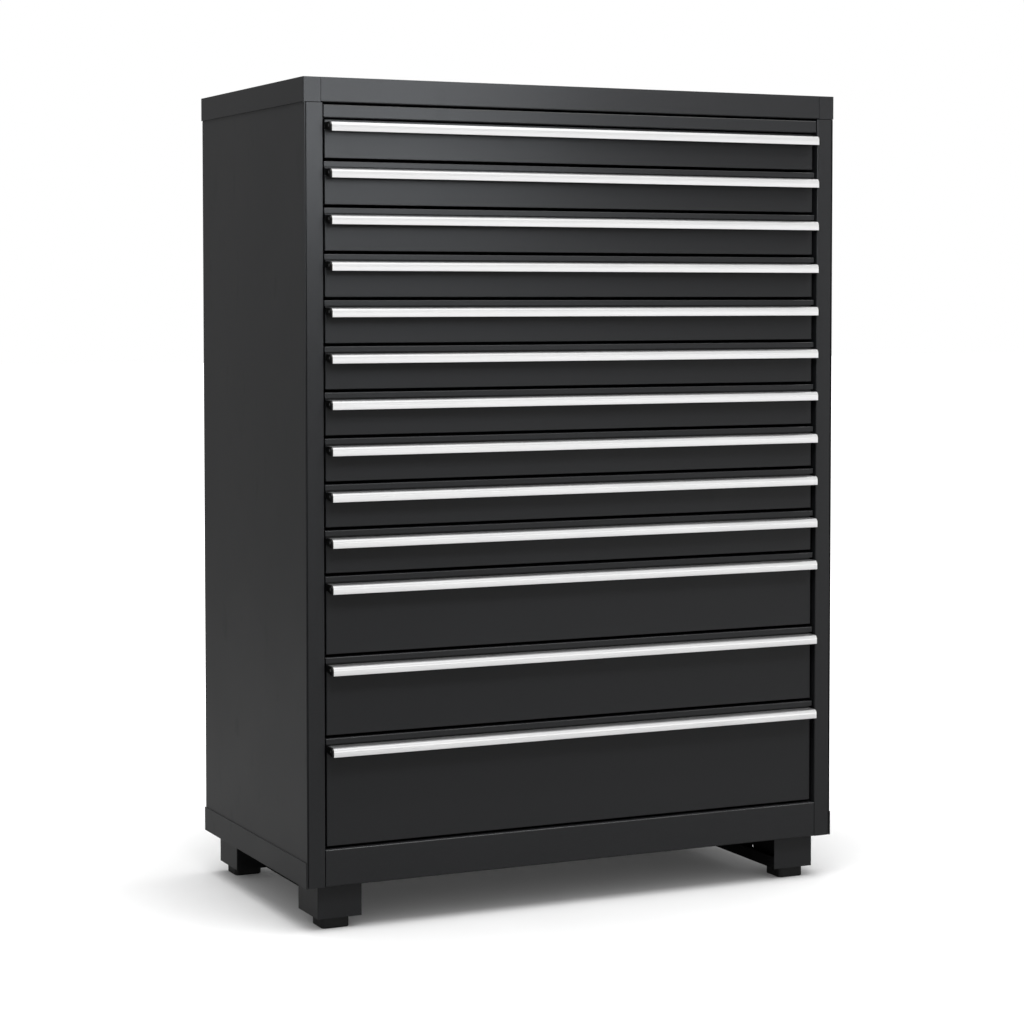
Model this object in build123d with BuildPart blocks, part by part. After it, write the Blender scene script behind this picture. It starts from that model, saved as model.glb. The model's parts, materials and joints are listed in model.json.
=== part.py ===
from build123d import *
import os

# A tall steel cabinet of thirteen drawers on four block feet.
#
# Millimetres, +Z up. The origin is on the floor, in the middle of the footprint.
# The drawers open towards -Y.

os.makedirs("parts", exist_ok=True)

# Driving dimensions: the whole cabinet
WIDTH = 1140.0  # over the side bands
DEPTH = 590.0  # from the front of the posts to the back of the bands
BODY_HEIGHT = 1500.0  # from the bottom of the posts to the top
HANDLE_REACH = 22.0  # how far the handles stand ahead of the posts

# Sheet metal
SHEET = 1.5
BAND = 2.0  # the cap and base bands, which stand proud of the side panels
TRAY_SHEET = 1.2
BEND = 2.2  # outer radius of a fold
SEAM = 0.8  # open line between two neighbouring panels
PLAY = 0.2  # between sheets that only meet inside
OVERCUT = 1.0  # how far a cut runs past the metal

# Cap, posts and base
CAP_HEIGHT = 45.6
CAP_WRAP = 34.0  # how far the side bands wrap round onto the front and the back
CAP_LAP = 20.0  # how far the side panels run up behind the cap
CAP_LAP_FRONT = 3.0  # that lap stands clear of the cap's wrapped front end
CAP_LAP_REAR = 4.0
CAP_FRONT_FLANGE = 40.0
CAP_REAR_ROUND = 0.8
LEDGE_FRONT = 4.0
LEDGE_REAR = 6.0
TOP_PANEL_PLAY = 0.4
TOP_PANEL_CORNER = 3.0
BACK_PANEL_DROP = 4.0
POST_FACE = 36.5
POST_DEPTH = 60.0
POST_REAR_FLANGE = 14.0
POST_OUTER_FLANGE = 22.0
POST_PLAY = 1.2  # open line between the post and the side panel
POST_TOP_GAP = 1.2
BASE_BAND_HEIGHT = 47.9
BASE_RAIL_HEIGHT = 69.3
LEDGE = 20.0
BAND_ROUND = 0.7
BASE_TOP_FLANGE = 22.0
BASE_BOTTOM_FLANGE = 34.0
FLOOR_PLAY = 0.6

# Feet
BLOCK_WIDTH = 88.0
BLOCK_DEPTH = 104.0
BLOCK_HEIGHT = 65.0
BLOCK_SHEET = 2.0
BLOCK_ROUND = 1.6
BLOCK_INSET = 31.0  # from the side of the cabinet
FRONT_BLOCK_INSET = 22.0  # from the front of the posts
REAR_BLOCK_INSET = 6.0  # from the back of the bands
PAD_SIZE = 56.0
PAD_HEIGHT = 22.0
PAD_CORNER = 9.0
PAD_FOOT_ROUND = 2.0
PAD_PLACE = 498.0  # centre of the pads, to each side of the middle
FRONT_PAD_INSET = 40.0  # centre of a front pad behind the front of its block
REAR_PAD_INSET = 32.0  # centre of a rear pad ahead of the back of its block
STUD_RADIUS = 6.0
STUD_HEAD_RADIUS = 10.5
STUD_HEAD_HEIGHT = 7.5
STUD_DEPTH = 14.0  # how deep the stud goes into the pad
STUD_PLAY = 0.1
STUD_HOLE_PLAY = 0.5
RUNNER_WIDTH = 26.0
RUNNER_LIP = 24.0
RUNNER_TOP_PLAY = 3.0
RUNNER_HOLE_RADIUS = 2.6
RUNNER_HOLE_LEVEL = 21.0
RUNNER_HOLE_INSET = 150.0  # from the front and the back of the cabinet

# Drawers, counted from the top: the height that each one takes up
PITCHES = [85.3] * 10 + [151.2, 151.2, 208.0]
LOWEST_GAP = 71.6  # middle of the gap under the last drawer, above the body's bottom
GAP = 4.8
HEADER_TOP = 1450.4
HEADER_BOTTOM = 1426.0
HEADER_EDGE = 40.7  # from the side of the cabinet to the end of the strip
HEADER_TOP_FLANGE = 24.0
HEADER_BOTTOM_FLANGE = 18.0

# Drawer front
LIP_EDGE = 41.8  # from the side of the cabinet to the end of the lip
FACE_EDGE = 44.5
LIP_RECESS = 5.0  # behind the front of the posts
FACE_RECESS = 8.5
HEADER_RECESS = 2.0
LIP_HEIGHT = 9.9
LIP_BOTTOM = 13.0  # below the middle of the gap above the drawer
NECK_SET_BACK = 2.5
NECK_EDGE = 1.0  # the neck is this much shorter than the face at each end
PAN_TOP = 16.2
PAN_DEPTH = 20.0
PAN_HEM = 9.0
EDGE_ROUND = 1.4
FIRST_FRONT_TOP = 11.5

# Tray behind the front
TRAY_HALF_WIDTH = 515.0
TRAY_BACK = 276.2
TRAY_LIFT = 4.0  # above the bottom edge of the front
RIM_DROP = 12.0  # below the middle of the gap above the drawer
RIM = 6.0
FRONT_WALL_DROP = 4.0  # below the rim
INNER_WEB = TRAY_HALF_WIDTH + 0.1  # a hair off the tray, so the member stays a piece of its own

# Handle, an aluminium extrusion with a hooked section
HANDLE_TOP = 16.8
HANDLE_HEIGHT = 17.6
HANDLE_LEG = 12.0
HANDLE_WALL = 1.8
HANDLE_ROLL = 8.5
HANDLE_FOOT_BEND = 0.6
HANDLE_HALF_LENGTH = 522.3
GROOVE_DROP = 9.0
GROOVE_WIDTH = 0.7
GROOVE_DEPTH = 0.4

# Telescopic slides: each member is a channel, nested in the next one out
SLIDE_LIFT = 33.0  # middle of the slide above the tray's bottom
SLIDE_WALL = 1.5
SLIDE_BEND = 1.9
FIXED_HALF_HEIGHT = 22.5
MID_HALF_HEIGHT = 19.5
INNER_HALF_HEIGHT = 16.5
FIXED_WEB = 531.5
FIXED_TIP = 520.5
MID_WEB = 528.4
MID_TIP = 518.0
INNER_TIP = 525.0
SLIDE_FRONT = -240.0
SLIDE_BACK = 290.0
MID_FRONT = -242.0
MID_BACK = 288.0
INNER_FRONT = -250.0
INNER_BACK = 275.0

# Heights and places worked out from those
BODY_BOTTOM = BLOCK_HEIGHT + PAD_HEIGHT
BODY_TOP = BODY_BOTTOM + BODY_HEIGHT
CAP_BOTTOM = BODY_TOP - CAP_HEIGHT
POST_TOP = CAP_BOTTOM - POST_TOP_GAP
SIDE = WIDTH / 2
PANEL_SIDE = SIDE - BAND
POST_INNER = PANEL_SIDE - POST_FACE
FRONT = -(DEPTH - HANDLE_REACH) / 2
BACK = FRONT + DEPTH
LIP_FRONT = FRONT + LIP_RECESS
FACE = FRONT + FACE_RECESS
PAN_BACK = FACE + PAN_DEPTH
LIP_HALF = SIDE - LIP_EDGE
FACE_HALF = SIDE - FACE_EDGE
BLOCK_OUTER = SIDE - BLOCK_INSET
BLOCK_INNER = BLOCK_OUTER - BLOCK_WIDTH
RUNNER_WEB = BLOCK_INNER + RUNNER_WIDTH
FRONT_BLOCK = FRONT + FRONT_BLOCK_INSET
REAR_BLOCK = BACK - REAR_BLOCK_INSET
FRONT_PAD = FRONT_BLOCK + FRONT_PAD_INSET
REAR_PAD = REAR_BLOCK - REAR_PAD_INSET
FIRST_GAP = BODY_BOTTOM + LOWEST_GAP + sum(PITCHES)


def save(piece, name):
    """Label a finished piece and write it under its own name."""
    piece.label = name
    export_step(piece, f"parts/{name}.step")


def slab(x, y, z, mode=Mode.ADD):
    """A block between two places on each axis, in the part being built."""
    with Locations(((x[0] + x[1]) / 2, (y[0] + y[1]) / 2, (z[0] + z[1]) / 2)):
        Box(x[1] - x[0], y[1] - y[0], z[1] - z[0], mode=mode)


def folded_sheet(plane, outline, thickness, length, bend=BEND, both=False):
    """A folded sheet: its outer face follows the outline, which runs anticlockwise round the metal."""
    with BuildPart() as sheet:
        with BuildSketch(plane):
            with BuildLine():
                FilletPolyline(*outline, radius=bend)
                offset(amount=thickness, side=Side.LEFT)
            make_face()
        extrude(amount=length, both=both)
    return sheet.part


def with_twin(piece):
    """A piece and its mirror image, as two solids."""
    with BuildPart() as pair:
        add(piece)
        mirror(piece, about=Plane.YZ)
    return pair.part


# Side panels: flat sheets, notched at the top where the cap's ends wrap round
with BuildPart() as side_panel_right:
    slab((PANEL_SIDE - SHEET, PANEL_SIDE), (FRONT, BACK - BAND), (BODY_BOTTOM, POST_TOP))
    outer_corners = side_panel_right.edges().filter_by(Axis.Z).group_by(Axis.X)[-1]
    fillet(outer_corners, radius=SHEET / 2)
    lap = (FRONT + CAP_LAP_FRONT, BACK - CAP_LAP_REAR)
    slab((PANEL_SIDE - SHEET, PANEL_SIDE), lap, (POST_TOP, CAP_BOTTOM + CAP_LAP))
save(side_panel_right.part, "side_panel_right")

with BuildPart() as side_panel_left:
    mirror(side_panel_right.part, about=Plane.YZ)
save(side_panel_left.part, "side_panel_left")

# Back panel, between the side panels
with BuildPart() as back_panel:
    back_half = PANEL_SIDE - SHEET - PLAY
    back_thickness = (BACK - BAND - SHEET, BACK - BAND)
    slab((-back_half, back_half), back_thickness, (BODY_BOTTOM, BODY_TOP - BACK_PANEL_DROP))
save(back_panel.part, "back_panel")

# Cap: two side bands that wrap round the corners, front and rear rails between their ends, and a top panel
wrap_end = SIDE - CAP_WRAP
ledge_top = BODY_TOP - BAND
with BuildPart() as top_side_rail_right:
    outline = [(wrap_end, FRONT), (SIDE, FRONT), (SIDE, BACK), (wrap_end, BACK)]
    add(folded_sheet(Plane.XY.offset(CAP_BOTTOM), outline, BAND, CAP_HEIGHT))
    ledge_length = (FRONT + LEDGE_FRONT, BACK - LEDGE_REAR)
    slab((PANEL_SIDE - LEDGE, PANEL_SIDE + BAND / 2), ledge_length, (ledge_top - BAND, ledge_top))
save(top_side_rail_right.part, "top_side_rail_right")

with BuildPart() as top_side_rail_left:
    mirror(top_side_rail_right.part, about=Plane.YZ)
save(top_side_rail_left.part, "top_side_rail_left")

with BuildPart() as top_front_rail:
    outline = [(FRONT, BODY_TOP), (FRONT, CAP_BOTTOM), (FRONT + CAP_FRONT_FLANGE, CAP_BOTTOM)]
    add(folded_sheet(Plane.YZ, outline, BAND, wrap_end - SEAM, both=True))
save(top_front_rail.part, "top_front_rail")

with BuildPart() as top_rear_rail:
    slab((-wrap_end + SEAM, wrap_end - SEAM), (BACK - BAND, BACK), (CAP_BOTTOM, BODY_TOP))
    fillet(top_rear_rail.edges().filter_by(Axis.X).group_by(Axis.Y)[-1], radius=CAP_REAR_ROUND)
save(top_rear_rail.part, "top_rear_rail")

with BuildPart() as top_panel:
    panel_edge = BAND + TOP_PANEL_PLAY
    panel_x = (-SIDE + panel_edge, SIDE - panel_edge)
    slab(panel_x, (FRONT + panel_edge, BACK - panel_edge), (ledge_top, BODY_TOP))
    fillet(top_panel.edges().filter_by(Axis.Z), radius=TOP_PANEL_CORNER)
save(top_panel.part, "top_panel")

# Front posts: channels with a rounded face, open towards the side panel
with BuildPart() as front_post_right:
    post_outer = PANEL_SIDE - SHEET - POST_PLAY
    outline = [
        (POST_INNER + POST_REAR_FLANGE, FRONT + POST_DEPTH),
        (POST_INNER, FRONT + POST_DEPTH),
        (POST_INNER, FRONT),
        (post_outer, FRONT),
        (post_outer, FRONT + POST_OUTER_FLANGE),
    ]
    add(folded_sheet(Plane.XY.offset(BODY_BOTTOM), outline, SHEET, POST_TOP - BODY_BOTTOM))
save(front_post_right.part, "front_post_right")

with BuildPart() as front_post_left:
    mirror(front_post_right.part, about=Plane.YZ)
save(front_post_left.part, "front_post_left")

# Rear posts: angles in the back corners that carry the slides
with BuildPart() as rear_posts:
    post_back = BACK - BAND - SHEET
    post_foot = BODY_BOTTOM + SHEET
    outline = [(PANEL_SIDE - SHEET, post_back), (POST_INNER, post_back), (POST_INNER, post_back - POST_DEPTH)]
    add(with_twin(folded_sheet(Plane.XY.offset(post_foot), outline, SHEET, POST_TOP - post_foot)))
save(rear_posts.part, "rear_posts")

# Base: a front rail between the posts, a band on each side and the floor panel
with BuildPart() as base_front_rail:
    rail_top = BODY_BOTTOM + BASE_RAIL_HEIGHT
    outline = [
        (FRONT + BASE_TOP_FLANGE, rail_top),
        (FRONT, rail_top),
        (FRONT, BODY_BOTTOM),
        (FRONT + BASE_BOTTOM_FLANGE, BODY_BOTTOM),
    ]
    add(folded_sheet(Plane.YZ, outline, SHEET, POST_INNER - SEAM, both=True))
save(base_front_rail.part, "base_front_rail")

with BuildPart() as base_side_rail_right:
    slab((PANEL_SIDE, SIDE), (FRONT, BACK), (BODY_BOTTOM, BODY_BOTTOM + BASE_BAND_HEIGHT))
    fillet(base_side_rail_right.edges().group_by(Axis.X)[-1], radius=BAND_ROUND)
save(base_side_rail_right.part, "base_side_rail_right")

with BuildPart() as base_side_rail_left:
    mirror(base_side_rail_right.part, about=Plane.YZ)
save(base_side_rail_left.part, "base_side_rail_left")

with BuildPart() as floor_panel:
    floor_half = PANEL_SIDE - SHEET - PLAY
    floor_front = FRONT + BASE_BOTTOM_FLANGE + SEAM
    floor_back = BACK - BAND - SHEET - PLAY
    behind_posts = FRONT + POST_DEPTH + SEAM
    floor_level = (BODY_BOTTOM, BODY_BOTTOM + SHEET)
    between_posts = POST_INNER - FLOOR_PLAY
    slab((-between_posts, between_posts), (floor_front, floor_back), floor_level)
    slab((-floor_half, floor_half), (behind_posts, floor_back), floor_level)
save(floor_panel.part, "floor_panel")

# Header strip: a fixed channel between the cap and the first drawer
with BuildPart() as header_strip:
    strip_front = FRONT + HEADER_RECESS
    strip_top = BODY_BOTTOM + HEADER_TOP
    strip_bottom = BODY_BOTTOM + HEADER_BOTTOM
    outline = [
        (strip_front + HEADER_TOP_FLANGE, strip_top),
        (strip_front, strip_top),
        (strip_front, strip_bottom),
        (strip_front + HEADER_BOTTOM_FLANGE, strip_bottom),
    ]
    add(folded_sheet(Plane.YZ, outline, SHEET, SIDE - HEADER_EDGE, both=True))
save(header_strip.part, "header_strip")


def foot_block(wall, inward, pad):
    """A folded foot block on the right, open on its inner side, from its outer wall inwards, over its pad."""
    far = wall + inward * BLOCK_DEPTH
    plate = sorted((wall, wall + inward * BLOCK_SHEET))
    inside = sorted((wall + inward * BLOCK_SHEET, far - inward * BLOCK_SHEET))
    with BuildPart() as block:
        slab((RUNNER_WEB, BLOCK_OUTER), sorted((wall, far)), (PAD_HEIGHT, BODY_BOTTOM))
        hollow = (RUNNER_WEB - OVERCUT, BLOCK_OUTER - BLOCK_SHEET)
        slab(hollow, inside, (PAD_HEIGHT + BLOCK_SHEET, BODY_BOTTOM + OVERCUT), mode=Mode.SUBTRACT)
        slab((BLOCK_INNER, RUNNER_WEB + OVERCUT), plate, (PAD_HEIGHT, BODY_BOTTOM))
        fillet(block.edges().filter_by(Axis.Z).group_by(Axis.X)[-1], radius=BLOCK_ROUND)
        with Locations((PAD_PLACE, pad, PAD_HEIGHT)):
            Cylinder(STUD_RADIUS + STUD_HOLE_PLAY, 4 * BLOCK_SHEET, mode=Mode.SUBTRACT)
    return block.part


# Feet: the blocks are open on their inner side, above the runner that joins the front one to the rear one
with BuildPart() as foot_blocks:
    add(with_twin(foot_block(FRONT_BLOCK, 1, FRONT_PAD)))
    add(with_twin(foot_block(REAR_BLOCK, -1, REAR_PAD)))
save(foot_blocks.part, "foot_blocks")

with BuildPart() as runner:
    runner_front = FRONT_BLOCK + BLOCK_SHEET
    runner_back = REAR_BLOCK - BLOCK_SHEET
    outline = [
        (BLOCK_INNER, PAD_HEIGHT + RUNNER_LIP),
        (BLOCK_INNER, PAD_HEIGHT),
        (RUNNER_WEB, PAD_HEIGHT),
        (RUNNER_WEB, BODY_BOTTOM),
        (BLOCK_INNER + RUNNER_TOP_PLAY, BODY_BOTTOM),
    ]
    add(folded_sheet(Plane.XZ.offset(-runner_back), outline, SHEET, runner_back - runner_front))
    for hole in (FRONT + RUNNER_HOLE_INSET, 0.0, BACK - RUNNER_HOLE_INSET):
        with Locations(Location((RUNNER_WEB, hole, PAD_HEIGHT + RUNNER_HOLE_LEVEL), (0, 90, 0))):
            Cylinder(RUNNER_HOLE_RADIUS, 6 * SHEET, mode=Mode.SUBTRACT)

with BuildPart() as base_runners:
    add(with_twin(runner.part))
save(base_runners.part, "base_runners")

pad_places = [(side * PAD_PLACE, middle) for side in (-1, 1) for middle in (FRONT_PAD, REAR_PAD)]
with BuildPart() as foot_pads:
    with BuildSketch():
        with Locations(*pad_places):
            RectangleRounded(PAD_SIZE, PAD_SIZE, PAD_CORNER)
    extrude(amount=PAD_HEIGHT)
    fillet(foot_pads.edges().group_by(Axis.Z)[0], radius=PAD_FOOT_ROUND)
    with BuildSketch(Plane.XY.offset(PAD_HEIGHT)):
        with Locations(*pad_places):
            Circle(STUD_RADIUS + STUD_PLAY)
    extrude(amount=-STUD_DEPTH - OVERCUT, mode=Mode.SUBTRACT)
save(foot_pads.part, "foot_pads")

with BuildPart() as levelling_studs:
    with BuildSketch(Plane.XY.offset(PAD_HEIGHT - STUD_DEPTH)):
        with Locations(*pad_places):
            Circle(STUD_RADIUS)
    extrude(amount=STUD_DEPTH + BLOCK_SHEET)
    with BuildSketch(Plane.XY.offset(PAD_HEIGHT + BLOCK_SHEET)):
        with Locations(*pad_places):
            RegularPolygon(STUD_HEAD_RADIUS, 6)
    extrude(amount=STUD_HEAD_HEIGHT)
save(levelling_studs.part, "levelling_studs")


def slide_member(web, tip, half_height, front, back, middle):
    """One slide channel on the right, its open side towards the tip."""
    low, high = middle - half_height, middle + half_height
    outline = [(tip, high), (web, high), (web, low), (tip, low)]
    if tip < web:
        outline.reverse()
    return folded_sheet(Plane.XZ.offset(-back), outline, SLIDE_WALL, back - front, bend=SLIDE_BEND)


def front_pan(bottom, top):
    """The front's face: a pan with rounded edges, open at the back, hemmed at the bottom and top."""
    with BuildPart() as pan:
        slab((-FACE_HALF, FACE_HALF), (FACE, PAN_BACK), (bottom, top))
        fillet(pan.faces().sort_by(Axis.Y)[0].edges(), radius=EDGE_ROUND)
        within = (-FACE_HALF + SHEET, FACE_HALF - SHEET)
        behind_face = (FACE + SHEET, PAN_BACK + OVERCUT)
        slab(within, behind_face, (bottom + SHEET, top - SHEET), mode=Mode.SUBTRACT)
        behind_hem = (FACE + PAN_HEM, PAN_BACK + OVERCUT)
        slab(within, behind_hem, (bottom - OVERCUT, top + OVERCUT), mode=Mode.SUBTRACT)
    return pan.part


def front_lip(bottom, neck_foot):
    """The lip along the top of a front, with the neck that it stands on."""
    top = bottom + LIP_HEIGHT
    with BuildPart() as lip:
        slab((-LIP_HALF, LIP_HALF), (LIP_FRONT, PAN_BACK), (bottom, top))
        fillet(lip.faces().sort_by(Axis.Y)[0].edges().sort_by(Axis.Z)[1:], radius=EDGE_ROUND)
        hollow = (-LIP_HALF + SHEET, LIP_HALF - SHEET)
        behind_lip = (LIP_FRONT + SHEET, PAN_BACK + OVERCUT)
        slab(hollow, behind_lip, (bottom - OVERCUT, top - SHEET), mode=Mode.SUBTRACT)
        neck = (FACE + NECK_SET_BACK, FACE + NECK_SET_BACK + SHEET)
        slab((-FACE_HALF + NECK_EDGE, FACE_HALF - NECK_EDGE), neck, (neck_foot, top - SHEET / 2))
    return lip.part


def drawer_tray(bottom, rim):
    """The open steel box behind the front, with a folded rim."""
    floor = bottom + TRAY_LIFT
    front_wall = (PAN_BACK - TRAY_SHEET / 2, PAN_BACK + TRAY_SHEET / 2)
    inside = (-TRAY_HALF_WIDTH + TRAY_SHEET, TRAY_HALF_WIDTH - TRAY_SHEET)
    length = (PAN_BACK + TRAY_SHEET / 2, TRAY_BACK - TRAY_SHEET)
    mouth = (inside[0] + RIM, inside[1] - RIM)
    with BuildPart() as tray:
        slab((-TRAY_HALF_WIDTH, TRAY_HALF_WIDTH), (PAN_BACK, TRAY_BACK), (floor, rim))
        slab(inside, length, (floor + TRAY_SHEET, rim - TRAY_SHEET), mode=Mode.SUBTRACT)
        slab(mouth, (length[0], length[1] - RIM), (rim - 2 * TRAY_SHEET, rim + OVERCUT), mode=Mode.SUBTRACT)
        slab((-FACE_HALF, FACE_HALF), front_wall, (floor, rim - FRONT_WALL_DROP))
    return tray.part


def drawer_handle(top):
    """A leg on the front, a flat top, a rolled nose and a hanging lip, with a fine groove along the nose."""
    nose = FRONT - HANDLE_REACH
    outline = [(FACE, top - HANDLE_LEG), (FACE, top), (nose, top), (nose, top - HANDLE_HEIGHT)]
    bends = [HANDLE_FOOT_BEND, HANDLE_ROLL]
    groove = (top - GROOVE_DROP - GROOVE_WIDTH, top - GROOVE_DROP)
    with BuildPart() as handle:
        add(folded_sheet(Plane.YZ, outline, HANDLE_WALL, HANDLE_HALF_LENGTH, bend=bends, both=True))
        past_ends = (-HANDLE_HALF_LENGTH - OVERCUT, HANDLE_HALF_LENGTH + OVERCUT)
        slab(past_ends, (nose - OVERCUT, nose + GROOVE_DEPTH), groove, mode=Mode.SUBTRACT)
    return handle.part


# Drawers, from the top one down, and the fixed slide members that stay on the posts
fixed_members = []
gap = FIRST_GAP
for number, pitch in enumerate(PITCHES, start=1):
    bottom = gap - pitch + GAP / 2
    top = gap - (PAN_TOP if number > 1 else FIRST_FRONT_TOP)
    level = bottom + TRAY_LIFT + SLIDE_LIFT
    tray = drawer_tray(bottom, gap - RIM_DROP)
    inner = slide_member(INNER_WEB, INNER_TIP, INNER_HALF_HEIGHT, INNER_FRONT, INNER_BACK, level)
    mid = slide_member(MID_WEB, MID_TIP, MID_HALF_HEIGHT, MID_FRONT, MID_BACK, level)
    fixed = slide_member(FIXED_WEB, FIXED_TIP, FIXED_HALF_HEIGHT, SLIDE_FRONT, SLIDE_BACK, level)

    with BuildPart() as drawer_box:
        add(front_pan(bottom, top))
        if number > 1:
            add(front_lip(gap - LIP_BOTTOM, top - SHEET))
        add(tray)
        add(with_twin(inner))
    save(drawer_box.part, f"drawer_{number:02d}_box")

    save(drawer_handle(gap - HANDLE_TOP), f"drawer_{number:02d}_handle")
    save(with_twin(mid), f"drawer_{number:02d}_slide_mid")
    fixed_members.append(with_twin(fixed))
    gap -= pitch

with BuildPart() as slide_rails_fixed:
    for pair in fixed_members:
        add(pair)
save(slide_rails_fixed.part, "slide_rails_fixed")
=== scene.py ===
import json
import math

import bmesh
import bpy
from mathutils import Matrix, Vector


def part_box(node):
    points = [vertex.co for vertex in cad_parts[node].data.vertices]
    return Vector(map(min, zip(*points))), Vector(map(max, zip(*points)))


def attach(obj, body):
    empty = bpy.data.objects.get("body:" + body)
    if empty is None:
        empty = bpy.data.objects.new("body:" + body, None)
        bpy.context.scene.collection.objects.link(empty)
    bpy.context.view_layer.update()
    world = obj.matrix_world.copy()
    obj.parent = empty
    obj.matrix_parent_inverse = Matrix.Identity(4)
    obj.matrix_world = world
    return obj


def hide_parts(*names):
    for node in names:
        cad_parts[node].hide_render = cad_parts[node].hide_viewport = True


# The tall drawer cabinet: handles, end caps, materials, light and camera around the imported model.
# Metres, +Z up. The drawers open towards -Y.

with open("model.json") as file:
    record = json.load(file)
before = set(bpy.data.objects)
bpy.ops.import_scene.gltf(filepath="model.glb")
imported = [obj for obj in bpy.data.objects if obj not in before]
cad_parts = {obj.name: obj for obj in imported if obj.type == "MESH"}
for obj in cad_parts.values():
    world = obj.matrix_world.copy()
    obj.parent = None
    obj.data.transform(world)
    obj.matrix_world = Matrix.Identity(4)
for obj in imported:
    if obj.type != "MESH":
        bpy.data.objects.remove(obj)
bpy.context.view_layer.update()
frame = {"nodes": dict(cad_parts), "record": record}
nodes = frame["nodes"]
DRAWER_COUNT = 13

# Handle section, repeated from the model's driving dimensions
FACE = -0.2755  # plane of the drawer fronts
NOSE = -0.306  # the furthest point of the handles
HANDLE_HEIGHT = 0.0176
HANDLE_LEG = 0.012
HANDLE_WALL = 0.0018
HANDLE_ROLL = 0.0085
HANDLE_TIP_ROUND = 0.0008
HANDLE_HALF_LENGTH = 0.5223
HANDLE_EDGE = 0.0004  # the small flat where the leg turns into the top
GROOVE_DROP = 0.009
GROOVE_WIDTH = 0.0007
GROOVE_DEPTH = 0.0004
CAP_THICKNESS = 0.0029
CAP_SINK = 0.0004  # the cap's rim stands this much inside the section's outline
CAP_CORNER = 0.002  # radius of the cap's lower front corner
CAP_FOOT = 0.006  # where the cap's slanting edge starts, behind the nose
CAP_BEVEL = 0.0006
SCREW_RADIUS = 0.0026
SCREW_HEIGHT = 0.0004
SLOT_DEPTH = 0.45  # of the screw's height
SCREW_SETBACK = 0.0105  # behind the nose
SCREW_DROP = 0.0075  # below the handle's top
SCREW_SINK = 0.0002  # how far the screw's foot lies inside the cap
SMOOTH_BELOW = math.radians(38)  # edges that turn less than this are shaded smooth


# ---------------------------------------------------------------- camera
CAMERA_PLACE = (-2.2272, -4.69031, 1.18102)
CAMERA_YAW = math.radians(25.2592)
CAMERA_PITCH = math.radians(2.4928)
CAMERA_ROLL = math.radians(0.0177)
SENSOR_WIDTH = 36  # millimetres
LENS_LENGTH = 89.857  # millimetres
LENS_SHIFT = -0.10  # of the picture's width
camera_data = bpy.data.cameras.new("camera")
camera_data.sensor_width = SENSOR_WIDTH
camera_data.lens = LENS_LENGTH
camera_data.shift_y = LENS_SHIFT
camera = bpy.data.objects.new("camera", camera_data)
camera.location = CAMERA_PLACE
camera.rotation_euler = (math.pi / 2 - CAMERA_PITCH, CAMERA_ROLL, -CAMERA_YAW)
bpy.context.scene.collection.objects.link(camera)
bpy.context.scene.camera = camera
bpy.context.scene.view_settings.view_transform = "Standard"


# ---------------------------------------------------------------- materials
class Finish:
    """A node material: a shader with a few procedural layers, all in the piece's own coordinates."""

    def __init__(self, name):
        self.material = bpy.data.materials.new(name)
        self.material.use_nodes = True
        self.tree = self.material.node_tree
        self.shader = self.tree.nodes["Principled BSDF"]
        self.place = self.tree.nodes.new("ShaderNodeTexCoord").outputs["Object"]

    def link(self, output, target):
        self.tree.links.new(output, target)

    def noise(self, scale, detail=2.0, stretch=(1, 1, 1)):
        """Noise of that many waves per metre, drawn out along the axes where stretch is small."""
        mapping = self.tree.nodes.new("ShaderNodeMapping")
        mapping.inputs["Scale"].default_value = stretch
        texture = self.tree.nodes.new("ShaderNodeTexNoise")
        texture.inputs["Scale"].default_value = scale
        texture.inputs["Detail"].default_value = detail
        self.link(self.place, mapping.inputs["Vector"])
        self.link(mapping.outputs["Vector"], texture.inputs["Vector"])
        return texture.outputs["Fac"]

    def spread(self, factor, low, high, start=0.3, end=0.7):
        """The factor's range from start to end, laid out from low to high."""
        node = self.tree.nodes.new("ShaderNodeMapRange")
        node.inputs["From Min"].default_value = start
        node.inputs["From Max"].default_value = end
        node.inputs["To Min"].default_value = low
        node.inputs["To Max"].default_value = high
        self.link(factor, node.inputs["Value"])
        return node.outputs["Result"]

    def math(self, operation, first, second):
        """A sum, product or the like of two outputs or numbers."""
        node = self.tree.nodes.new("ShaderNodeMath")
        node.operation = operation
        for value, target in ((first, node.inputs[0]), (second, node.inputs[1])):
            if isinstance(value, (int, float)):
                target.default_value = value
            else:
                self.link(value, target)
        return node.outputs["Value"]

    def blend(self, factor, first, second):
        """A colour between two, where each is a colour or an output."""
        node = self.tree.nodes.new("ShaderNodeMix")
        node.data_type = "RGBA"
        if isinstance(factor, (int, float)):
            node.inputs["Factor"].default_value = factor
        else:
            self.link(factor, node.inputs["Factor"])
        for value, target in ((first, node.inputs["A"]), (second, node.inputs["B"])):
            if isinstance(value, tuple):
                target.default_value = (*value, 1)
            else:
                self.link(value, target)
        return node.outputs["Result"]

    def bump(self, height, strength, distance):
        """Small relief in the shader's normal, where distance is in metres."""
        node = self.tree.nodes.new("ShaderNodeBump")
        node.inputs["Strength"].default_value = strength
        node.inputs["Distance"].default_value = distance
        self.link(height, node.inputs["Height"])
        self.link(node.outputs["Normal"], self.shader.inputs["Normal"])

    def colour(self, output):
        self.link(output, self.shader.inputs["Base Color"])

    def roughness(self, output):
        self.link(output, self.shader.inputs["Roughness"])

    def axis(self, index):
        """One coordinate of the place, in metres."""
        node = self.tree.nodes.new("ShaderNodeSeparateXYZ")
        self.link(self.place, node.inputs["Vector"])
        return node.outputs[index]


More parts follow.
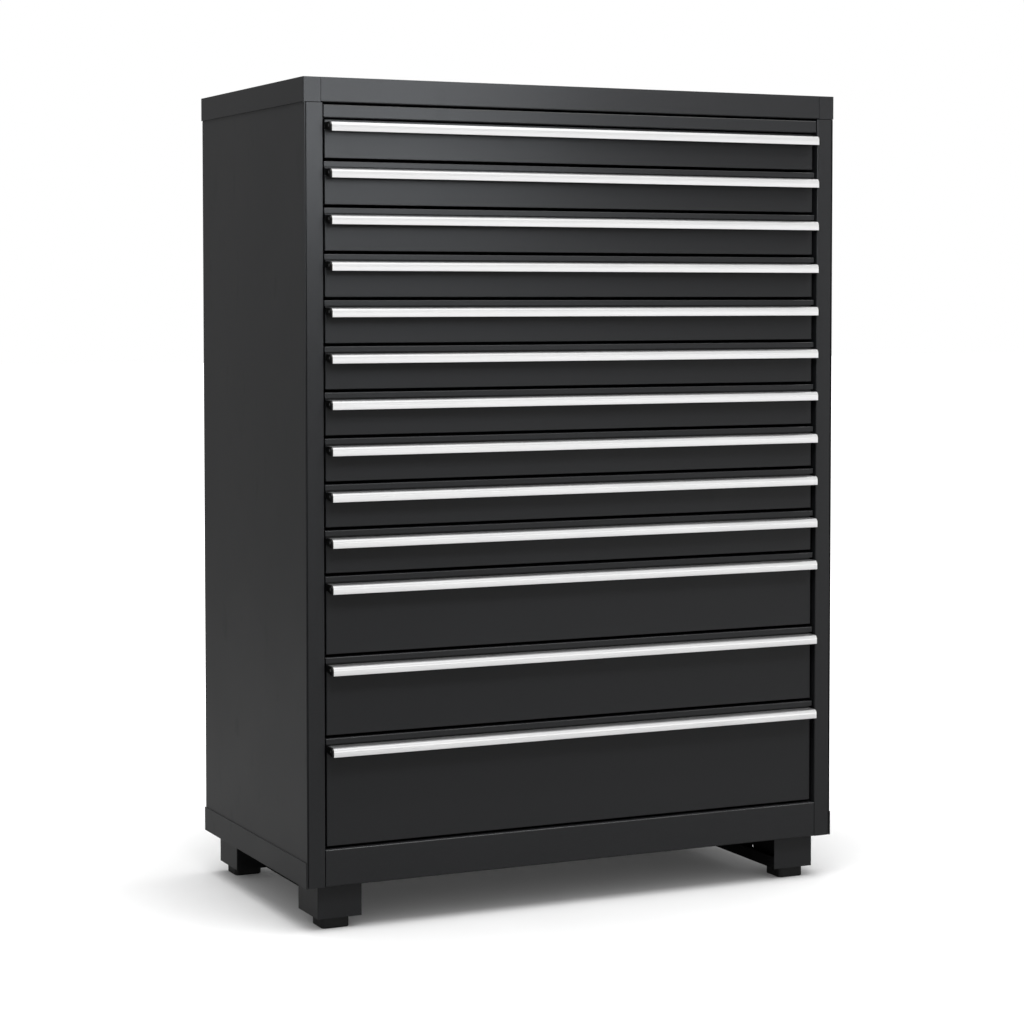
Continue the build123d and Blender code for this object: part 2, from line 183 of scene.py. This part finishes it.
PAINT_SPECULAR = 0.25
PAINT_DARK = (0.0055, 0.0057, 0.0062)
PAINT_LIGHT = (0.0095, 0.0097, 0.0104)
PAINT_ROUGHNESS = (0.36, 0.40)
CLOUD_SCALE = 3.5
COAT_GRAIN_SCALE = 900
COAT_PEEL_SCALE = 1100
RUBBED_SCALE = 26
RUBBED_ROUGHNESS = 0.05
SPECKLE = 0.02

# Base runner paint: darker and duller than the cabinet paint, as painted shade for the runners lying in
# shadow under the cabinet
RUNNER_SHADE_DARK = (0.002, 0.002, 0.0022)
RUNNER_SHADE_LIGHT = (0.004, 0.004, 0.0043)
UNDER_ROUGHNESS = (0.6, 0.7)
UNDER_SPECULAR = 0.1

ZINC_DARK = (0.36, 0.37, 0.38)
ZINC_LIGHT = (0.52, 0.52, 0.51)
ZINC_ROUGHNESS = (0.3, 0.46)
ZINC_PATCH_SCALE = 60
ZINC_LINE_SCALE = 700
ALONG_SLIDE = (1, 0.02, 1)
SLIDE_INSIDE = 0.51505  # the drawer's slide members lie further out than this on X
SLIDE_FRONT = -0.2505  # and further back than this on Y

ALUMINIUM_DARK = (0.84, 0.84, 0.845)
ALUMINIUM_LIGHT = (0.95, 0.95, 0.945)
ALUMINIUM_ROUGHNESS = (0.34, 0.46)
ALUMINIUM_LINE_SCALE = 2600
ALONG_HANDLE = (0.004, 1, 1)
MARK_SCALE = 9
LINE_SHARE = 0.6  # how much of the tone the drawn lines make, and the marks make the rest


def powder_coat(name, dark, light, roughness, specular):
    """Satin powder coat: fine orange peel, faint clouds in the gloss and a few duller rubbed patches."""
    finish = Finish(name)
    finish.shader.inputs["Specular IOR Level"].default_value = specular
    cloud = finish.noise(CLOUD_SCALE, 3)
    grain = finish.noise(COAT_GRAIN_SCALE, 2)
    finish.colour(finish.blend(finish.spread(grain, 0.0, 1.0), dark, light))
    gloss = finish.spread(cloud, *roughness)
    rubbed = finish.spread(finish.noise(RUBBED_SCALE, 4, (1, 1, 0.4)), 0.0, RUBBED_ROUGHNESS, 0.62, 0.8)
    speckle = finish.spread(grain, -SPECKLE, SPECKLE)
    finish.roughness(finish.math("ADD", finish.math("ADD", gloss, rubbed), speckle))
    finish.bump(finish.noise(COAT_PEEL_SCALE, 1), 0.06, 0.0002)
    return finish


def zinc_layers(finish, shader):
    """Zinc plate on one of the finish's shaders: patches in its colour and drawn lines in its gloss."""
    shader.inputs["Metallic"].default_value = 1.0
    patches = finish.spread(finish.noise(ZINC_PATCH_SCALE, 3), 0.0, 1.0)
    finish.link(finish.blend(patches, ZINC_DARK, ZINC_LIGHT), shader.inputs["Base Color"])
    lines = finish.noise(ZINC_LINE_SCALE, 2, ALONG_SLIDE)
    finish.link(finish.spread(lines, *ZINC_ROUGHNESS), shader.inputs["Roughness"])
    return lines


def zinc(name):
    """Bright zinc plate with its drawn lines in relief."""
    finish = Finish(name)
    finish.bump(zinc_layers(finish, finish.shader), 0.1, 0.0001)
    return finish


def drawer_finish():
    """Powder coat on the front and the tray, and zinc plate on the drawer's own slide members."""
    finish = powder_coat("drawer_paint", PAINT_DARK, PAINT_LIGHT, PAINT_ROUGHNESS, PAINT_SPECULAR)
    plate = finish.tree.nodes.new("ShaderNodeBsdfPrincipled")
    zinc_layers(finish, plate)
    outside = finish.math("GREATER_THAN", finish.math("ABSOLUTE", finish.axis("X"), 0.0), SLIDE_INSIDE)
    behind = finish.math("GREATER_THAN", finish.axis("Y"), SLIDE_FRONT)
    mix = finish.tree.nodes.new("ShaderNodeMixShader")
    finish.link(finish.math("MULTIPLY", outside, behind), mix.inputs["Fac"])
    finish.link(finish.shader.outputs["BSDF"], mix.inputs[1])
    finish.link(plate.outputs["BSDF"], mix.inputs[2])
    finish.link(mix.outputs["Shader"], finish.tree.nodes["Material Output"].inputs["Surface"])
    return finish


def anodised():
    """Satin anodised aluminium: fine drawn lines along the handle, with faint handling marks."""
    finish = Finish("handle_aluminium")
    finish.shader.inputs["Metallic"].default_value = 1.0
    lines = finish.noise(ALUMINIUM_LINE_SCALE, 2, ALONG_HANDLE)
    marks = finish.noise(MARK_SCALE, 3)
    line_tone = finish.spread(lines, 0.0, LINE_SHARE)
    tone = finish.math("ADD", line_tone, finish.spread(marks, 0.0, 1 - LINE_SHARE))
    finish.colour(finish.blend(tone, ALUMINIUM_DARK, ALUMINIUM_LIGHT))
    gloss = finish.spread(lines, *ALUMINIUM_ROUGHNESS)
    finish.roughness(finish.math("ADD", gloss, finish.spread(marks, 0.0, 0.03)))
    finish.bump(lines, 0.04, 0.0001)
    return finish


def moulded(name, dark, light, roughness, grain_scale, specular):
    """Moulded rubber or plastic with a fine grain and dusty patches."""
    finish = Finish(name)
    finish.shader.inputs["Specular IOR Level"].default_value = specular
    dust = finish.spread(finish.noise(40, 4), 0.0, 1.0, 0.4, 0.8)
    finish.colour(finish.blend(dust, dark, light))
    grain = finish.noise(grain_scale, 2)
    finish.roughness(finish.spread(grain, *roughness))
    finish.bump(grain, 0.12, 0.0003)
    return finish


cabinet_paint = powder_coat("cabinet_paint", PAINT_DARK, PAINT_LIGHT, PAINT_ROUGHNESS, PAINT_SPECULAR)
drawer_paint = drawer_finish()
runner_painted_shade = powder_coat("runner_painted_shade", RUNNER_SHADE_DARK, RUNNER_SHADE_LIGHT, UNDER_ROUGHNESS, UNDER_SPECULAR)
aluminium = anodised()
zinc_plate = zinc("zinc_plate")
rubber = moulded(
    "foot_rubber",
    dark=(0.006, 0.006, 0.0062),
    light=(0.012, 0.012, 0.0118),
    roughness=(0.5, 0.62),
    grain_scale=1500,
    specular=0.3,
)
cap_plastic = moulded(
    "cap_plastic",
    dark=(0.003, 0.003, 0.003),
    light=(0.006, 0.006, 0.006),
    roughness=(0.32, 0.42),
    grain_scale=2400,
    specular=0.3,
)
screw_steel = zinc("screw_steel")
BY_SLOT = {
    "cabinet_paint": cabinet_paint,
    "drawer_paint": drawer_paint,
    "handle_aluminium": aluminium,
    "slide_steel": zinc_plate,
    "foot_rubber": rubber,
    "stud_steel": zinc_plate,
}
for part in frame["record"]["subparts"]:
    mesh = nodes[part["node"]].data
    mesh.materials.clear()
    mesh.materials.append(BY_SLOT[part["material_slot"]].material)
# The base runners take the darker paint: painted shade under the cabinet
nodes["base_runners"].data.materials[0] = runner_painted_shade.material


# ---------------------------------------------------------------- handles, end caps and screws
def arc(centre, radius, start, end, steps):
    """Points of an arc in the YZ plane, from one angle in degrees to another."""
    angles = [math.radians(start + (end - start) * step / steps) for step in range(steps + 1)]
    return [(centre[0] + radius * math.cos(a), centre[1] + radius * math.sin(a)) for a in angles]


def handle_section(top):
    """The hooked section as a closed outline: up the leg, over the roll, down the lip and back inside."""
    roll = (NOSE + HANDLE_ROLL, top - HANDLE_ROLL)
    groove_top = top - GROOVE_DROP
    groove_bottom = groove_top - GROOVE_WIDTH
    bottom = top - HANDLE_HEIGHT
    tip = HANDLE_TIP_ROUND
    inner = NOSE + HANDLE_WALL
    outline = [(FACE, top - HANDLE_LEG), (FACE, top - HANDLE_EDGE), (FACE - HANDLE_EDGE, top)]
    outline += arc(roll, HANDLE_ROLL, 90, 180, 16)
    outline += [(NOSE, groove_top), (NOSE + GROOVE_DEPTH, groove_top - GROOVE_WIDTH / 3)]
    outline += [(NOSE + GROOVE_DEPTH, groove_bottom + GROOVE_WIDTH / 3), (NOSE, groove_bottom)]
    outline += arc((NOSE + tip, bottom + tip), tip, 180, 270, 5)
    outline += arc((inner - tip, bottom + tip), tip, 270, 360, 5)
    outline += arc(roll, HANDLE_ROLL - HANDLE_WALL, 180, 90, 12)
    outline += [(FACE - HANDLE_WALL, top - HANDLE_WALL), (FACE - HANDLE_WALL, top - HANDLE_LEG)]
    return outline


def finished(work, name, finish):
    """The bmesh as a smooth-shaded object with that finish."""
    for face in work.faces:
        face.smooth = True
    mesh = bpy.data.meshes.new(name)
    work.to_mesh(mesh)
    work.free()
    mesh.materials.append(finish.material)
    piece = bpy.data.objects.new(name, mesh)
    bpy.context.scene.collection.objects.link(piece)
    return piece


def extrusion(name, outline, left, right, finish, bevel=0.0):
    """A solid with that YZ outline between two places on X, its two ends rounded off by the bevel."""
    work = bmesh.new()
    ends = [[work.verts.new((x, y, z)) for y, z in outline] for x in (left, right)]
    count = len(outline)
    for step in range(count):
        following = (step + 1) % count
        work.faces.new((ends[0][step], ends[0][following], ends[1][following], ends[1][step]))
    caps = [work.faces.new(ends[0][::-1]), work.faces.new(ends[1])]
    if bevel:
        rim = [edge for cap in caps for edge in cap.edges]
        bmesh.ops.bevel(
            work, geom=rim, offset=bevel, segments=3, profile=0.5, affect="EDGES", clamp_overlap=True
        )
    bmesh.ops.recalc_face_normals(work, faces=work.faces)
    for edge in work.edges:
        edge.smooth = edge.is_manifold and edge.calc_face_angle(0.0) < SMOOTH_BELOW
    return finished(work, name, finish)


def cap_outline(top):
    """The end cap: it fills the hook's section, with a slanting edge from the lip's foot back to the leg."""
    sink = CAP_SINK
    roll = (NOSE + HANDLE_ROLL, top - HANDLE_ROLL)
    bottom = top - HANDLE_HEIGHT + sink
    outline = [(FACE - sink, top - HANDLE_LEG), (FACE - sink, top - sink)]
    outline += arc(roll, HANDLE_ROLL - sink, 90, 180, 14)
    outline += arc((NOSE + sink + CAP_CORNER, bottom + CAP_CORNER), CAP_CORNER, 180, 270, 5)
    outline += [(NOSE + CAP_FOOT, bottom)]
    return outline


def screw(name, centre, outwards):
    """A small domed screw head on the end of a handle, with a cross recess."""
    work = bmesh.new()
    sides = 24
    rings = ((1.0, 0.0), (1.0, 0.5), (0.86, 0.85), (0.4, 1.0))  # shares of the radius and of the height
    loops = []
    for width, height in rings:
        radius = SCREW_RADIUS * width
        loop = []
        for step in range(sides):
            angle = 2 * math.pi * step / sides
            in_slot = width < 0.9 and step % (sides // 4) == 0
            out = outwards * SCREW_HEIGHT * (height - (SLOT_DEPTH if in_slot else 0.0))
            across = centre[1] + radius * math.cos(angle)
            up = centre[2] + radius * math.sin(angle)
            loop.append(work.verts.new((centre[0] + out, across, up)))
        loops.append(loop)
    for inner, outer in zip(loops[1:], loops[:-1]):
        for step in range(sides):
            following = (step + 1) % sides
            work.faces.new((outer[step], outer[following], inner[following], inner[step]))
    work.faces.new(loops[-1])
    bmesh.ops.recalc_face_normals(work, faces=work.faces)
    return finished(work, name, screw_steel)


handles = []
trims = []
for number in range(1, DRAWER_COUNT + 1):
    drawer = f"drawer_{number:02d}"
    node = f"{drawer}_handle"
    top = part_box(node)[1][2]
    handle = extrusion(
        f"{drawer}_bar", handle_section(top), -HANDLE_HALF_LENGTH, HANDLE_HALF_LENGTH, aluminium
    )
    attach(handle, drawer)
    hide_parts(node)
    handles.append(handle)
    for side, label in ((-1, "left"), (1, "right")):
        start = side * HANDLE_HALF_LENGTH
        end = side * (HANDLE_HALF_LENGTH + CAP_THICKNESS)
        left, right = sorted((start, end))
        cap = extrusion(f"{drawer}_cap_{label}", cap_outline(top), left, right, cap_plastic, CAP_BEVEL)
        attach(cap, drawer)
        centre = (end - side * SCREW_SINK, NOSE + SCREW_SETBACK, top - SCREW_DROP)
        head = screw(f"{drawer}_screw_{label}", centre, side)
        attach(head, drawer)
        trims += [cap, head]


# ---------------------------------------------------------------- floor, lights, world
def camera_only(tree, seen, unseen):
    """One shader for what the camera sees directly and another for everything else."""
    path = tree.nodes.new("ShaderNodeLightPath")
    mix = tree.nodes.new("ShaderNodeMixShader")
    tree.links.new(path.outputs["Is Camera Ray"], mix.inputs["Fac"])
    tree.links.new(unseen, mix.inputs[1])
    tree.links.new(seen, mix.inputs[2])
    return mix.outputs["Shader"]


FLOOR = 40.0
FLOOR_DARK = (0.86, 0.86, 0.86)
FLOOR_LIGHT = (0.89, 0.89, 0.89)
FLOOR_BOUNCE = (0.41, 0.41, 0.41)
GLOW_NEAR, GLOW_FAR = 0.6, 2.2  # the floor brightens between these distances from the middle
GLOW_LOW, GLOW_HIGH = 0.035, 1.0
floor_corners = [(-FLOOR, -FLOOR, 0), (FLOOR, -FLOOR, 0), (FLOOR, FLOOR, 0), (-FLOOR, FLOOR, 0)]
floor_mesh = bpy.data.meshes.new("floor")
floor_mesh.from_pydata(floor_corners, [], [(0, 1, 2, 3)])
floor = bpy.data.objects.new("floor", floor_mesh)
bpy.context.scene.collection.objects.link(floor)
floor_finish = Finish("floor")
floor_cloud = floor_finish.spread(floor_finish.noise(3, 4), 0.0, 1.0)
floor_finish.colour(floor_finish.blend(floor_cloud, FLOOR_DARK, FLOOR_LIGHT))
floor_finish.roughness(floor_finish.spread(floor_finish.noise(40, 3), 0.85, 0.95))
floor_finish.shader.inputs["Specular IOR Level"].default_value = 0.1
across = floor_finish.math("POWER", floor_finish.axis("X"), 2.0)
along = floor_finish.math("POWER", floor_finish.axis("Y"), 2.0)
away = floor_finish.math("SQRT", floor_finish.math("ADD", across, along), 0.0)
glow = floor_finish.tree.nodes.new("ShaderNodeEmission")
strength = floor_finish.spread(away, GLOW_LOW, GLOW_HIGH, GLOW_NEAR, GLOW_FAR)
floor_finish.link(strength, glow.inputs["Strength"])
lit = floor_finish.tree.nodes.new("ShaderNodeAddShader")
floor_finish.link(floor_finish.shader.outputs["BSDF"], lit.inputs[0])
floor_finish.link(glow.outputs["Emission"], lit.inputs[1])
bounce = floor_finish.tree.nodes.new("ShaderNodeBsdfDiffuse")
bounce.inputs["Color"].default_value = (*FLOOR_BOUNCE, 1)
floor_finish.link(
    camera_only(floor_finish.tree, lit.outputs["Shader"], bounce.outputs["BSDF"]),
    floor_finish.tree.nodes["Material Output"].inputs["Surface"],
)
floor_mesh.materials.append(floor_finish.material)


def softbox(name, place, aim, size, power, colour=(1, 1, 1), only=None):
    """A rectangular light, unseen by the camera, that falls only on the pieces in that collection."""
    light_data = bpy.data.lights.new(name, "AREA")
    light_data.shape = "RECTANGLE"
    light_data.size, light_data.size_y = size
    light_data.energy = power
    light_data.color = colour
    light = bpy.data.objects.new(name, light_data)
    light.location = place
    light.rotation_euler = (Vector(aim) - Vector(place)).to_track_quat("-Z", "Y").to_euler()
    light.visible_camera = False
    if only:
        light.light_linking.receiver_collection = only
    bpy.context.scene.collection.objects.link(light)


painted = bpy.data.collections.new("painted")
matt = bpy.data.collections.new("matt")
bars = bpy.data.collections.new("bars")
for part in frame["record"]["subparts"]:
    if part["material_slot"] in ("cabinet_paint", "drawer_paint"):
        painted.objects.link(nodes[part["node"]])
    if part["material_slot"] != "handle_aluminium":
        matt.objects.link(nodes[part["node"]])
matt.objects.link(floor)
for piece in trims:
    matt.objects.link(piece)
for piece in handles:
    bars.objects.link(piece)

# Each light's place, aim, size in metres and power in watts
softbox("overhead", (-0.2, -0.9, 4.5), (0.0, -0.2, 0.0), (4.0, 4.0), 215, only=matt)
softbox("bar_top", (-0.2, -0.9, 4.5), (0.0, -0.2, 0.0), (4.0, 4.0), 46, only=bars)
softbox("bar_front", (2.0, -5.4, 0.5), (0.0, -0.28, 0.2), (6.0, 2.2), 48, only=bars)
softbox("sheet_top", (1.0, 0.9, 4.2), (1.0, 0.9, 0.0), (6.0, 5.0), 1200, only=painted)
softbox("sheet_high", (0.9, -3.0, 3.6), (0.0, -0.28, 0.8), (4.0, 1.0), 90, only=painted)
softbox("sheet_front", (2.8, -5.0, 0.6), (0.0, -0.28, 0.7), (3.0, 2.0), 14, only=painted)
softbox("sheet_low", (2.9, -3.2, 0.1), (0.2, -0.28, 0.1), (3.0, 0.4), 4, only=painted)
softbox("sheet_right", (4.5, 2.2, 1.6), (0.6, 0.2, 0.8), (2.0, 3.0), 60, only=painted)
softbox("sheet_rear", (1.4, 4.6, 1.8), (0.0, 0.3, 0.8), (2.5, 3.0), 75, only=painted)
softbox("corner", (-0.5, -1.25, 1.62), (-0.5, -0.28, 1.45), (1.7, 0.4), 16, (0.90, 0.95, 1.0), only=painted)

DARK_SIDE = (-0.33, 0.94, 0.0)  # the surroundings are dimmest this way
DARK_ABOVE = 0.8  # share of that direction at which they are dimmest
BRIGHT_SIDE_STRENGTH = 0.95
DARK_SIDE_STRENGTH = 0.34
world = bpy.data.worlds.new("world")
bpy.context.scene.world = world
world.use_nodes = True
world_tree = world.node_tree
backdrop = world_tree.nodes["Background"]
backdrop.inputs["Color"].default_value = (1, 1, 1, 1)
backdrop.inputs["Strength"].default_value = 1.0
sky = world_tree.nodes.new("ShaderNodeBackground")
direction = world_tree.nodes.new("ShaderNodeTexCoord")
facing = world_tree.nodes.new("ShaderNodeVectorMath")
facing.operation = "DOT_PRODUCT"
facing.inputs[1].default_value = DARK_SIDE
world_tree.links.new(direction.outputs["Generated"], facing.inputs[0])
dimmer = world_tree.nodes.new("ShaderNodeMapRange")
dimmer.inputs["From Min"].default_value = 0.0
dimmer.inputs["From Max"].default_value = DARK_ABOVE
dimmer.inputs["To Min"].default_value = BRIGHT_SIDE_STRENGTH
dimmer.inputs["To Max"].default_value = DARK_SIDE_STRENGTH
world_tree.links.new(facing.outputs["Value"], dimmer.inputs["Value"])
world_tree.links.new(dimmer.outputs["Result"], sky.inputs["Strength"])
world_tree.links.new(
    camera_only(world_tree, backdrop.outputs["Background"], sky.outputs["Background"]),
    world_tree.nodes["World Output"].inputs["Surface"],
)
